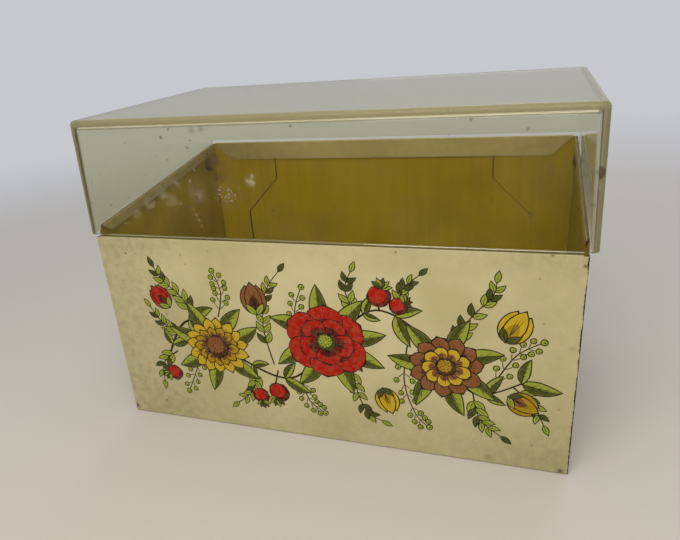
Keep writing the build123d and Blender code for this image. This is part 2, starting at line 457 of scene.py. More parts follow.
@dataclass(frozen=True)
class LacqueredTinplate:
    """The inside of the sheet: a roller-coated transparent gold lacquer over bright tin.

    It is deep mustard and half glossy, with faint upright roller streaks, cloudy stains and small
    dark specks.
    """

    name: str = "lacquered_tinplate_mustard"
    lacquer: str = "#a08e00"
    thin: str = "#a99702"
    stain: str = "#766600"
    speck_and_shadow: str = "#2f2705"
    roughness: Span = (0.26, 0.46)
    streak: float = 1.4  # millimetres between roller streaks
    cloud: float = 17.0
    mottle: float = 2.2
    grain: float = 0.6
    sheen: float = 0.03  # the lacquer is worn nearly matt
    half_width: float = 66.5
    flange_narrow: float = 12.7
    flange_wide: float = 26.0
    step_low: float = 47.0
    seam_reach: float = 0.17  # half the width of the dirt and painted shadow beside a flange
    tight_seam: float = 0.95  # how dark the right flange's line is, beside the left one's
    seam_fade: float = 1.0  # how far below and above the step the right line fades out
    drawn_out: Place = (1.0, 1.0, 0.03)  # the roller's streaks run upright
    marks: tuple[Stain, ...] = (
        (54.5, 37.3, 59.0, 0.5, 0.9), (40.5, 37.4, 52.5, 1.2, 0.5), (-47.0, 37.4, 55.5, 0.4, 0.6),
    )

    def make(self) -> bpy.types.Material:
        """Makes the material."""
        material, node, at = blank(self.name)
        drawn = node("Mapping", {"Vector": at, "Scale": self.drawn_out})
        streaks = node("TexNoise", {"Vector": drawn, "Scale": per(self.streak), "Detail": 3.0})
        clouds = node("TexNoise", {"Vector": at, "Scale": per(self.cloud), "Detail": 5.0})
        grain = node("TexNoise", {"Vector": at, "Scale": per(self.grain), "Detail": 1.0})
        mottled = {"Scale": per(self.mottle), "Detail": 6.0, "Roughness": 0.65}
        mottling = node("TexNoise", {"Vector": at, **mottled})
        specks = node("MapRange", (grain, 0.74, 0.79, 0.0, 0.7))
        # The specks also take the stains, and the dirt and painted shadow beside the flanges.
        for mask in (spread(node, at, self.marks, mottling), self.seam_dirt_and_shadow(node, at)):
            specks = node("Math", (specks, mask), operation="MAXIMUM")
        colour = linear(self.lacquer)
        for cover, over in (
            (node("MapRange", (streaks, 0.35, 0.65)), self.thin),
            (node("MapRange", (clouds, 0.45, 0.72, 0.0, 0.4)), self.stain),
            (specks, self.speck_and_shadow),
        ):
            colour = node("Mix", {0: cover, 6: colour, 7: linear(over)}, data_type="RGBA")
        relief = node("Bump", {"Height": streaks, "Strength": 0.25, "Distance": 0.02 * MM})
        buckled = {"Height": clouds, "Strength": 0.6, "Distance": 0.2 * MM, "Normal": relief}
        shader = node("BsdfPrincipled", {
            "Base Color": colour,
            "Roughness": node("MapRange", (mottling, 0.3, 0.7, *self.roughness)),
            "Specular IOR Level": self.sheen,
            "Normal": node("Bump", buckled),
        })
        node("OutputMaterial", {"Surface": shader})
        return material

    def seam_dirt_and_shadow(self, node: AddNode, at: Socket) -> bpy.types.Node:
        """Draws the dirt and painted shadow along the cut edge of each flange.

        Args:
            node: adds a node to the material.
            at: object coordinates.

        Returns:
            The mask, from 0 to 1.
        """
        x, _, z = node("SeparateXYZ", (at,)).outputs
        step_top = self.step_low + self.flange_wide - self.flange_narrow
        narrow = self.half_width - self.flange_narrow
        wide = self.half_width - self.flange_wide
        edge = node("MapRange", (z, *metres((self.step_low, step_top, narrow, wide))))
        across = node("Math", (x,), operation="ABSOLUTE")
        beside = node("Math", (across, edge, self.seam_reach * MM), operation="COMPARE")
        # The right flange lies tighter: its line is a little fainter, and it ends at the step.
        step = metres((self.step_low - self.seam_fade, self.step_low + self.seam_fade))
        tight = node("MapRange", (z, *step, 0.0, self.tight_seam))
        left = node("Math", (x, 0.0), operation="LESS_THAN")
        depth = node("Math", (left, tight), operation="MAXIMUM")
        return node("Math", (beside, depth), operation="MULTIPLY")


@dataclass(frozen=True)
class PrintingInk:
    """Offset printing ink under the same varnish as the ground.

    It is even and half glossy, a little thin and mottled where the plate printed lightly, and
    worn through in pinholes.
    """

    name: str
    colour: str
    worn: str = "#b9ad7c"
    mottle: float = 1.1  # millimetres between thin patches
    grain: float = 0.4
    roughness: Span = (0.28, 0.44)
    sheen: float = 0.12  # under the same dulled varnish

    def make(self) -> bpy.types.Material:
        """Makes the material."""
        material, node, at = blank(self.name)
        mottled = {"Scale": per(self.mottle), "Detail": 5.0, "Roughness": 0.6}
        mottling = node("TexNoise", {"Vector": at, **mottled})
        grain = node("TexNoise", {"Vector": at, "Scale": per(self.grain), "Detail": 1.0})
        thin = node("MapRange", (mottling, 0.42, 0.78, 0.0, 0.14))
        pinholes = node("MapRange", (grain, 0.74, 0.8, 0.0, 0.6))
        worn = node("Math", (thin, pinholes), operation="MAXIMUM")
        shades = {6: linear(self.colour), 7: linear(self.worn)}
        relief = {"Height": mottling, "Strength": 0.3, "Distance": 0.01 * MM}
        shader = node("BsdfPrincipled", {
            "Base Color": node("Mix", {0: worn, **shades}, data_type="RGBA"),
            "Roughness": node("MapRange", (mottling, 0.3, 0.7, *self.roughness)),
            "Specular IOR Level": self.sheen,
            "Normal": node("Bump", relief),
        })
        node("OutputMaterial", {"Surface": shader})
        return material


@dataclass(frozen=True)
class OldMetal:
    """Bare metal gone dull with handling: the sheared edge of the tinplate, or the rivets.

    Broken cloudy oxide makes it patchy and hardly shiny.
    """

    name: str
    bright: str
    oxide: str
    roughness: Span
    cloud: float = 0.8  # millimetres between patches of oxide
    cover: Span = (0.4, 0.62)

    def make(self) -> bpy.types.Material:
        """Makes the material."""
        material, node, at = blank(self.name)
        cloudy = {"Scale": per(self.cloud), "Detail": 5.0, "Roughness": 0.7}
        clouds = node("TexNoise", {"Vector": at, **cloudy})
        oxide = node("MapRange", (clouds, *self.cover))
        shades = {6: linear(self.bright), 7: linear(self.oxide)}
        pits = {"Height": clouds, "Strength": 0.6, "Distance": 0.05 * MM}
        shader = node("BsdfPrincipled", {
            "Base Color": node("Mix", {0: oxide, **shades}, data_type="RGBA"),
            "Roughness": node("MapRange", (oxide, 0.0, 1.0, *self.roughness)),
            "Metallic": node("MapRange", (oxide, 0.0, 1.0, 1.0, 0.35)),
            "Normal": node("Bump", pits),
        })
        node("OutputMaterial", {"Surface": shader})
        return material


@dataclass(frozen=True)
class ClearPolystyrene:
    """Injection-moulded crystal polystyrene, gone yellow.

    It is clear, and olive where light is caught in its thick edges, and a film of painted olive
    light lies where two walls meet. Its worn surface reflects little, and carries fine scratches, a
    thin haze, brown residue and pale scuffs, and a painted highlight runs along its inner front
    corner.
    """

    name: str = "moulded_clear_polystyrene"
    index: float = 1.59
    dulled: float = 0.045  # the part of each reflection that the worn surface has lost
    tint: tuple[float, ...] = (0.53, 0.49, 0.35, 1.0)  # linear
    density: float = 20.0  # per metre
    body: str = "#f4f3ea"
    shadow: str = "#e4e0cc"  # what a lamp's light becomes on its way through
    edge: str = "#a09a74"  # olive light that the thick edges give back, also painted on as a film where two walls meet
    edge_light_cover: float = 0.4
    guided: float = 0.98  # the reflection above which light stays inside the wall
    trapped: float = 0.4  # how much of the guided light leaves at each turn
    line: str = "#cfcbba"  # painted highlight along the inner corner of the front and the roof
    highlight_cover: float = 0.6
    highlight_sum: Span = (132.06, 132.16)
    dust: str = "#b9b4a0"
    residue: str = "#54432c"
    film_from: float = 0.02  # the least of a mask that takes its own colour
    haze: Span = (0.0, 0.008)
    roof_haze: float = 0.3
    roof_depth: Span = (92.3, 93.6)  # from the roof's underside up into it
    roof_film: str = "#8a866f"
    roughness: Span = (0.01, 0.035)
    lean: float = 0.0323  # how far an inner face leans in for each millimetre of height
    deep_x: Span = (69.15, 69.45)  # from the cavity's wall outwards, at Z = 0
    deep_y: Span = (39.8, 40.1)
    deep_z: Span = (92.5, 92.9)
    cloud: float = 14.0
    scratch: float = 0.7  # millimetres between scratches
    wiped: tuple[tuple[Place, Place], ...] = (  # how each set of scratches is turned and drawn out
        ((0.0, 0.0, 0.5), (1.0, 0.02, 0.6)),
        ((0.5, 0.2, -0.9), (0.8, 0.015, 1.0)),
    )
    grain: float = 0.7
    point: float = 0.42
    smear: float = 2.2
    residues: tuple[Stain, ...] = (
        (-29.4, -38.5, 91.2, 1.7, 0.35), (-26.6, -38.5, 91.4, 1.5, 0.4),
        (-38.8, -38.5, 89.5, 0.75, 0.8), (-36.2, -38.5, 91.6, 0.6, 0.6),
        (-31.5, -38.5, 86.8, 0.6, 0.9), (-30.0, -38.5, 88.6, 0.5, 0.7),
        (-37.9, -38.5, 83.7, 0.55, 0.55), (-50.3, -38.5, 88.4, 0.4, 0.7),
        (-65.6, -38.9, 71.6, 0.55, 0.7), (-59.0, -38.9, 71.1, 0.5, 0.7),
        (-2.0, -38.4, 91.6, 0.7, 0.7), (40.2, -38.4, 91.7, 0.7, 0.6),
        (52.0, -38.4, 89.5, 0.8, 0.5), (56.7, -38.6, 81.6, 0.5, 0.8),
        (53.8, -38.8, 70.8, 1.3, 0.4), (-24.2, -38.6, 83.4, 3.6, 0.55),
        (-23.0, -38.6, 79.0, 3.0, 0.3), (66.7, -38.9, 80.0, 1.5, 0.75),
        (66.2, -38.9, 73.0, 0.8, 0.5),
    )
    scuffs: tuple[Stain, ...] = (
        (-14.4, -38.7, 78.1, 2.2, 1.8), (-13.9, -38.7, 79.2, 1.2, 1.8),
        (-32.0, -38.7, 78.1, 0.8, 0.8), (-30.2, -38.7, 81.0, 0.6, 0.6),
        (-55.0, -38.9, 66.0, 1.6, 0.4), (-50.8, -38.8, 68.6, 2.6, 0.45),
        (-46.0, -38.8, 71.6, 3.0, 0.45), (-41.2, -38.8, 74.4, 3.2, 0.45),
        (-36.9, -38.7, 77.0, 3.0, 0.4), (-39.0, -38.8, 72.5, 3.4, 0.4),
        (-36.0, -38.8, 71.9, 1.1, 0.4), (-34.2, -38.8, 71.3, 1.1, 0.4),
        (-32.7, -38.8, 70.3, 1.1, 0.4), (-31.8, -38.8, 68.8, 1.0, 0.4),
        (-31.1, -38.8, 67.3, 1.0, 0.4), (-30.6, -38.9, 65.6, 1.0, 0.4),
        (-30.5, -38.8, 74.5, 4.6, 0.3),
    )
    spatter: Stain = (-22.0, -38.8, 75.0, 6.0, 0.6)

    def make(self) -> bpy.types.Material:
        """Makes the material."""
        material, node, at = blank(self.name)
        x, y, z = node("SeparateXYZ", (at,)).outputs
        clouds = node("TexNoise", {"Vector": at, "Scale": per(self.cloud), "Detail": 6.0})
        grain = node("TexNoise", {"Vector": at, "Scale": per(self.grain), "Detail": 1.0})
        fine = []
        for turn, stretch in self.wiped:
            laid = node("Mapping", {"Vector": at, "Rotation": turn, "Scale": stretch})
            lines = node("TexNoise", {"Vector": laid, "Scale": per(self.scratch), "Detail": 3.0})
            fine.append(node("MapRange", (lines, 0.66, 0.76)))
        scratches = node("Math", fine, operation="MAXIMUM")
        haze = node("MapRange", (clouds, 0.35, 0.7, *self.haze))
        haze = node("Math", (scratches, 0.03, haze), operation="MULTIPLY_ADD")
        roof = node("MapRange", (z, *metres(self.roof_depth), 0.0, self.roof_haze))
        haze = node("Math", (haze, roof), operation="ADD")
        specks = node("MapRange", (grain, 0.765, 0.8, 0.0, 0.7))
        grubby = (specks, spread(node, at, self.residues, grain))
        # Fine pale spots are thick round one place, and broken milky scuffs lie elsewhere.
        points = node("TexNoise", {"Vector": at, "Scale": per(self.point), "Detail": 0.0})
        spots = node("MapRange", (points, 0.33, 0.27))
        near_spatter = spread(node, at, (self.spatter,), clouds)
        smeared = {"Scale": per(self.smear), "Detail": 8.0, "Roughness": 0.75}
        smears = node("TexNoise", {"Vector": at, **smeared})
        broken = node("MapRange", (smears, 0.4, 0.66))
        scuffed = (
            node("Math", (spots, near_spatter), operation="MULTIPLY"),
            node("Math", (broken, spread(node, at, self.scuffs, smears)), operation="MULTIPLY"),
        )
        edges, line = self.edges(node, x, y, z)
        # The masks lay colours on the film: painted olive light at the thick edges, real dust and
        # residue, and a painted highlight line.
        film, covered = linear(self.body), haze
        for mask, colour, cover in (
            (roof, self.roof_film, 0.0),  # the haze itself covers the roof
            (edges, self.edge, self.edge_light_cover),
            (node("Math", scuffed, operation="MAXIMUM"), self.dust, 1.0),
            (node("Math", grubby, operation="MAXIMUM"), self.residue, 1.0),
            (line, self.line, self.highlight_cover),
        ):
            share = node("Math", (mask, self.film_from), operation="GREATER_THAN")
            film = node("Mix", {0: share, 6: film, 7: linear(colour)}, data_type="RGBA")
            over = node("Math", (mask, cover), operation="MULTIPLY")
            covered = node("Math", (covered, over), operation="MAXIMUM")
        relief = node("Bump", {"Height": clouds, "Strength": 0.15, "Distance": 0.05 * MM})
        scores = {"Height": scratches, "Strength": 0.2, "Distance": 0.003 * MM, "Normal": relief}
        relief = node("Bump", scores, invert=True)
        roughness = node("MapRange", (clouds, 0.35, 0.7, *self.roughness))
        worn = {"Roughness": roughness, "Normal": relief}
        fresnel = node("Fresnel", {"IOR": self.index, "Normal": relief})
        shine = node("MapRange", (fresnel, self.dulled))
        body = {"Color": linear(self.body), "IOR": self.index}
        through = node("BsdfRefraction", {**body, **worn})
        mirrored = node("BsdfAnisotropic", {"Color": linear("#ffffff"), **worn})
        surface = node("MixShader", (shine, through, mirrored))
        # Light that is caught inside the wall lights the wall up, a little at each turn.
        caught = node("Math", (fresnel, self.guided), operation="GREATER_THAN")
        caught = node("Math", (caught, self.trapped), operation="MULTIPLY")
        inner = node("BsdfDiffuse", {"Color": linear(self.edge)})
        outer = node("BsdfTranslucent", {"Color": linear(self.edge)})
        for share, over in (
            (caught, node("MixShader", (0.5, inner, outer))),
            (covered, node("BsdfPrincipled", {"Base Color": film, "Roughness": 0.6})),
            (
                node("LightPath").outputs["Is Shadow Ray"],
                node("BsdfTransparent", {"Color": linear(self.shadow)}),
            ),
        ):
            surface = node("MixShader", (share, surface, over))
        volume = node("VolumeAbsorption", {"Color": self.tint, "Density": self.density})
        node("OutputMaterial", {"Surface": surface, "Volume": volume})
        return material

    def edges(
        self, node: AddNode, x: Socket, y: Socket, z: Socket
    ) -> tuple[bpy.types.Node, bpy.types.Node]:
        """Marks the thick edges, where two walls meet, for a painted film of their olive light, and
        the painted highlight line beside the front one.

        Args:
            node: adds a node to the material.
            x: object coordinates, left to right.
            y: front to back.
            z: upwards.

        Returns:
            Both masks, from 0 to 1.
        """
        masks, leaning = [], []
        for place, turned, deep in (
            (x, "ABSOLUTE", self.deep_x), (y, "MULTIPLY", self.deep_y), (z, "", self.deep_z)
        ):
            if turned:
                # The walls lean in with height, so the place of their inner face does too.
                place = node("Math", (place, -1.0), operation=turned)
                place = node("Math", (z, self.lean, place), operation="MULTIPLY_ADD")
            leaning.append(place)
            reach = (place, *metres(deep))
            masks.append(node("MapRange", reach, interpolation_type="SMOOTHSTEP"))
        pairs = [
            node("Math", (masks[a], masks[b]), operation="MULTIPLY")
            for a, b in ((0, 1), (1, 2), (2, 0))
        ]
        most = node("Math", pairs[:2], operation="MAXIMUM")
        most = node("Math", (most, pairs[2]), operation="MAXIMUM")
        # The painted highlight line sits in the middle of the inner fillet, where height and depth
        # together are greatest.
        both = node("Math", leaning[1:], operation="ADD")
        line = node("MapRange", (both, *metres(self.highlight_sum)))
        for place, (_, limit) in zip(leaning[1:], (self.deep_y, self.deep_z)):
            inside = node("Math", (place, limit * MM), operation="LESS_THAN")
            line = node("Math", (line, inside), operation="MULTIPLY")
        return most, line


@dataclass(frozen=True)
class StudioCard:
    """Matt pale card that the tin stands on, with a faint fibre grain.

    Far from the tin it runs into the plain backdrop, with no horizon.
    """

    name: str = "matt_studio_card"
    colour: str = "#bdb8b0"
    fibre: float = 1.2
    fade: Span = (180.0, 620.0)  # millimetres from the tin

    def make(self) -> bpy.types.Material:
        """Makes the material."""
        material, node, at = blank(self.name)
        fibres = node("TexNoise", {"Vector": at, "Scale": per(self.fibre), "Detail": 4.0})
        relief = node("Bump", {"Height": fibres, "Strength": 0.1, "Distance": 0.05 * MM})
        matt = {"Base Color": linear(self.colour), "Roughness": 0.85, "Normal": relief}
        card = node("BsdfPrincipled", matt)
        away = node("VectorMath", (at,), operation="LENGTH")
        far = node("MapRange", (away, *metres(self.fade)), interpolation_type="SMOOTHSTEP")
        path = node("LightPath").outputs
        seen = path["Is Camera Ray"]
        for ray in ("Is Glossy Ray", "Is Transmission Ray"):
            seen = node("Math", (seen, path[ray]), operation="MAXIMUM")
        shown = node("Math", (far, seen), operation="MULTIPLY")
        backdrop = node("Emission", {"Color": linear(BACKDROP), "Strength": 1.0})
        node("OutputMaterial", {"Surface": node("MixShader", (shown, card, backdrop))})
        return material


# ---------------------------------------------------------------- the folded tin


@dataclass(frozen=True)
class TinSizes:
    """The tin's driving sizes, as in the CAD source."""

    half_width: float = 66.5
    front_y: float = -39.1
    back_y: float = 38.2
    front_height: float = 61.7
    back_height: float = 74.4
    sheet: float = 0.3
    print_room: float = 0.05  # the front stands this far back, so that the print stays inside
    bend: float = 0.6  # outer radius of a folded corner
    bend_segments: int = 5
    corner_segments: int = 5
    hem_centre: float = 0.3  # from the middle of the sheet to the centre of a hem's fold
    hem_steps: int = 8
    hinge_y: float = 31.8
    hinge_z: float = 67.3
    pin_hole: float = 1.28

    @property
    def front_face(self) -> float:
        """Where the outer face of the front wall stands."""
        return self.front_y + self.print_room

    @property
    def fold(self) -> float:
        """Outer radius of a hem's fold."""
        return self.hem_centre + self.sheet / 2


@dataclass
class Sheet:
    """What each folded sheet shares: it starts flat, and gets its thickness last."""

    sizes: TinSizes
    finishes: Sequence[bpy.types.Material]  # outside, inside and on the raw edge

    def roll(self, centre: Place, axis: Place) -> None:
        """Folds the selected rim half round, about a line in millimetres."""
        steps = self.sizes.hem_steps
        bpy.ops.mesh.spin(steps=steps, angle=math.pi, center=metres(centre), axis=axis)

    def thicken(self, piece: bpy.types.Object) -> None:
        """Gives the sheet's outer face its thickness, its two sides and its raw edge."""
        for finish in self.finishes:
            piece.data.materials.append(finish)
        modify(
            piece, "SOLIDIFY", thickness=self.sizes.sheet * MM, offset=-1, use_even_offset=True,
            material_offset=1, material_offset_rim=2,
        )

    def join(self, piece: bpy.types.Object, node: str) -> bpy.types.Object:
        """Shades the piece, and lets it stand for its CAD node."""
        smooth(piece)
        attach(piece, "tin")
        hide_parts(node)
        return piece


@dataclass
class FoldedWrap(Sheet):
    """Front wall, floor and back wall in one sheet, with a hemmed rim at each end."""

    front_hem: float = 4.5
    back_hem: float = 6.5
    hem_inset: float = 1.3
    hem_corner: float = 1.1
    name: str = "printed_tinplate_wrap"

    def hem(self, wall_y: float, wall_top: float, inward: float, width: float) -> None:
        """Folds the rim of one wall over and down on its inner side.

        Args:
            wall_y: where the wall's outer face is.
            wall_top: where the fold begins.
            inward: +1 where the box is on the wall's +Y side, and -1 on its -Y side.
            width: how far the rim reaches down inside.
        """
        sizes = self.sizes
        half = sizes.half_width - self.hem_inset
        pick_edges(lambda v: near(v.z, wall_top) and near(v.y, wall_y) and abs(v.x) < half + NEAR)
        leaf_y = (sizes.front_y if inward > 0 else sizes.back_y) + inward * 2 * sizes.fold
        self.roll((0, (wall_y + leaf_y) / 2, wall_top), (inward, 0, 0))
        drop = width - sizes.fold
        pull(0, 0, -drop)
        for side in (-1, 1):
            pick(
                lambda v: near(v.z, wall_top - drop)
                and near(v.y, leaf_y)
                and v.x * side > half - NEAR
            )
            shift(-side * width, 0, 0)
            corner = self.hem_corner * width / self.front_hem
            round_corners(corner, sizes.corner_segments)

    def build(self) -> bpy.types.Object:
        """Folds the sheet up and gives it its thickness."""
        sizes = self.sizes
        front, back = sizes.front_face, sizes.back_y
        front_top = sizes.front_height - sizes.fold
        back_top = sizes.back_height - sizes.fold
        deselect()
        bpy.ops.mesh.primitive_plane_add(size=2 * sizes.half_width * MM)
        piece = bpy.context.object
        piece.name = self.name
        edit()
        pick(lambda v: v.y > 0)
        shift(0, back - sizes.half_width, 0)
        pick(lambda v: v.y < 0)
        shift(0, front + sizes.half_width, 0)
        for wall_y, top in ((front, front_top), (back, back_top)):
            pick_edges(lambda v: near(v.y, wall_y) and v.z < 1)
            pull(0, 0, top)
        for side in (-1, 1):
            cut((side * (sizes.half_width - self.hem_inset), 0, 0), (1, 0, 0))
        pick_edges(lambda v: near(v.z, 0), lambda a, b: near(a.y, b.y) and not near(a.x, b.x))
        round_edges(sizes.bend, sizes.bend_segments)
        self.hem(front, front_top, 1, self.front_hem)
        self.hem(back, back_top, -1, self.back_hem)
        heal()
        leave()
        self.thicken(piece)
        return self.join(piece, "front_floor_back_wrap")


@dataclass
class EndPanel(Sheet):
    """One end wall with flanges inside the front, the back and the floor, and a sloping hem."""

    side: int = -1  # -1 for the left end, +1 for the right one
    shoulder_height: float = 64.2
    shoulder_setback: float = 3.4
    step_setback: float = 2.1
    flange_narrow: float = 12.7
    flange_wide: float = 26.0
    step_drop: float = 27.4
    floor_flange: float = 9.0
    relief: float = 0.4
    tuck: float = 0.1
    bend_room: float = 0.01  # how much tighter than the wrap's its bends are
    hem_width: float = 3.3
    hem_corner: float = 0.62
    hem_corner_segments: int = 4

    def build(self) -> bpy.types.Object:
        """Folds the left panel, turns it round for the right end, and gives it its thickness."""
        sizes = self.sizes
        end = "left" if self.side < 0 else "right"
        wall = -sizes.half_width
        front = sizes.front_face + sizes.sheet
        back = sizes.back_y - sizes.sheet
        floor = sizes.sheet
        bottom = sizes.sheet + sizes.bend + self.relief
        slope = math.atan2(
            sizes.back_height - self.shoulder_height,
            sizes.back_y - sizes.front_y - self.shoulder_setback,
        )
        shoulder_y = sizes.front_y + self.shoulder_setback
        shoulder_z = self.shoulder_height - sizes.fold / math.cos(slope)
        low_top = sizes.front_height - sizes.fold - self.tuck
        back_top = sizes.back_height - sizes.fold - self.tuck
        hem_end = back - sizes.bend - self.relief
        hem_end_z = shoulder_z + (hem_end - shoulder_y) * math.tan(slope)
        floor_front = sizes.front_y + bottom

        deselect()
        bpy.ops.mesh.primitive_plane_add(size=MM, rotation=(0, math.radians(90), 0))
        piece = settle(bpy.context.object, f"{end}_end_panel_sheet")
        edit()
        # The first strip stands beside the front corner. The plane's own sides are 0.5 from 0.
        for axis, low, high in (("z", bottom, low_top), ("y", front, floor_front)):
            for sign, place in ((-1, low), (1, high)):
                pick(lambda v: near(getattr(v, axis), sign * 0.5))
                shift(*(place - sign * 0.5 if name == axis else 0 for name in "xyz"))
        pick(lambda v: True)
        shift(wall, 0, 0)
        # The wall grows backwards strip by strip, and its top edge follows the rim.
        at, height = floor_front, low_top
        for place, top in (
            (sizes.front_y + self.step_setback, low_top),
            (shoulder_y, shoulder_z),
            (hem_end, hem_end_z),
            (back, back_top),
        ):
            pick_edges(lambda v: near(v.y, at))
            pull(0, place - at, 0)
            pick(lambda v: near(v.y, place) and v.z > bottom + 1)
            shift(0, 0, top - height)
            at, height = place, top
        # Flanges round the two corners, the back one wide at its top.
        for place in (front, back):
            pick_edges(lambda v: near(v.y, place))
            pull(self.flange_narrow, 0, 0)
        step_low = sizes.back_height - self.step_drop
        widening = self.flange_wide - self.flange_narrow
        cut((0, 0, step_low), (0, 0, 1))
        inner = wall + self.flange_narrow
        pick_edges(lambda v: near(v.x, inner) and near(v.y, back) and v.z > step_low - NEAR)
        pull(widening, 0, 0)
        pick(lambda v: near(v.x, inner + widening) and near(v.z, step_low))
        shift(0, 0, widening)
        # The floor flange.
        pick_edges(
            lambda v: near(v.x, wall)
            and near(v.z, bottom)
            and floor_front - NEAR < v.y < hem_end + NEAR
        )
        pull(0, 0, floor - bottom)
        pull(self.floor_flange, 0, 0)
        pick_edges(
            lambda v: near(v.x, wall),
            lambda a, b: (near(a.z, floor) and near(b.z, floor))
            or (near(a.y, front) and near(b.y, front))
            or (near(a.y, back) and near(b.y, back)),
        )
        round_edges(sizes.bend - self.bend_room, sizes.bend_segments)
        self.hem(shoulder_y, shoulder_z, hem_end, slope)
        heal()
        leave()
        if self.side > 0:
            self.turn(piece)
        self.thicken(piece)
        pin = (self.side * sizes.half_width, sizes.hinge_y, sizes.hinge_z)
        carve(piece, rod(pin, sizes.pin_hole, 4 * sizes.bend, "pin_hole_cutter"))
        return self.join(piece, f"{end}_end_panel")

    def hem(self, start_y: float, start_z: float, end_y: float, slope: float) -> None:
        """Folds the sloping rim over and down on the inside.

        Args:
            start_y: where the hem begins, at the front shoulder.
            start_z: how high the fold begins there.
            end_y: where the hem ends, near the back corner.
            slope: the rim's slope in radians.
        """
        sizes = self.sizes
        wall = -sizes.half_width
        rise = math.tan(slope)
        pick_edges(
            lambda v: near(v.x, wall)
            and near(v.z, start_z + (v.y - start_y) * rise)
            and start_y - NEAR < v.y < end_y + NEAR,
            lambda a, b: not near(a.y, b.y),
        )
        self.roll((wall + sizes.fold, start_y, start_z), (0, -math.cos(slope), -math.sin(slope)))
        drop = self.hem_width - sizes.fold
        down = (0, drop * math.sin(slope), -drop * math.cos(slope))
        pull(*down)
        leaf = wall + 2 * sizes.fold
        pick(
            lambda v: near(v.x, leaf)
            and abs(v.y - start_y - down[1]) < 0.1
            and abs(v.z - start_z - down[2]) < 0.1
        )
        shift(0, self.hem_width * math.cos(slope), self.hem_width * math.sin(slope))
        round_corners(self.hem_corner, self.hem_corner_segments)

    def turn(self, piece: bpy.types.Object) -> None:
        """Mirrors the left panel to the right end, and turns its faces out again."""
        piece.scale = (-1, 1, 1)
        settle(piece, piece.name)
        edit()
        heal()
        leave()


# ---------------------------------------------------------------- the print


class Ink(Enum):
    """The inks of the print, each with its sRGB colour."""

    KEY = "#0f0c07"
    RED = "#a01306"
    DEEP_RED = "#5d0d07"
    RUSSET = "#7b4a29"
    UMBER = "#4a2414"
    OCHRE = "#9d7c08"
    STRAW = "#b99a1f"
    LEAF = "#8c9631"
    SHADE = "#414614"


def off(start: Spot, reach: float, way: float, squash: float = 1.0) -> Spot:
    """Gives the place that lies some way off, at an angle in radians, on a squashed circle."""
    return (start[0] + reach * math.cos(way), start[1] + reach * math.sin(way) * squash)


@dataclass(frozen=True)
class Patch:
    """One flat shape of one ink: its outline goes round to the left, X and Z in millimetres."""

    ring: Ring
    ink: Ink


@dataclass(frozen=True)
class Blade:
    """A leaf, a petal or a pen stroke: a shape that swells and narrows along a bent middle line."""

    foot: Spot
    angle: float  # degrees, anticlockwise from +X
    length: float
    width: float
    bend: float = 0.0  # degrees that the middle line turns from foot to tip
    swell: float = 1.0  # below 1 it is widest near the foot, above 1 near the tip
    blunt: float = 1.0  # below 1 the tip is rounder
    steps: int = 8

    def middle(self, along: float) -> tuple[float, float, float]:
        """Gives the place and the heading at a share of the length."""
        heading = math.radians(self.angle + self.bend * along)
        half_way = math.radians(self.angle + self.bend * along / 2)
        return (*off(self.foot, self.length * along, half_way), heading)

    def at(self, along: float, across: float, grow: float = 0.0) -> Spot:
        """Gives a place on the blade.

        Args:
            along: share of the length.
            across: share of the half width, +1 on the left side.
            grow: how far outside the outline it lies.

        Returns:
            X and Z in millimetres.
        """
        x, z, heading = self.middle(along)
        swell = math.sin(math.pi * min(max(along, 0.0), 1.0) ** self.swell)
        half = self.width / 2 * max(swell, 0.0) ** self.blunt
        reach = half * across + math.copysign(grow, across) if across else 0.0
        return (x - reach * math.sin(heading), z + reach * math.cos(heading))

    def ring(self, low: float = -1.0, high: float = 1.0, grow: float = 0.0) -> Ring:
        """Gives the outline between two shares of the width.

        Args:
            low: share of the half width where the shape begins.
            high: share where it ends.
            grow: how far the outline is moved outwards, for a black line round the shape.

        Returns:
            The outline.
        """
        stretch = 1.6 * grow / self.length
        shares = [i / self.steps for i in range(1, self.steps)]
        foot = self.at(-stretch, 0.0)
        tip = self.at(1.0 + stretch, 0.0)
        right = [self.at(t, low, grow) for t in shares]
        left = [self.at(t, high, grow) for t in reversed(shares)]
        return [foot, *right, tip, *left]


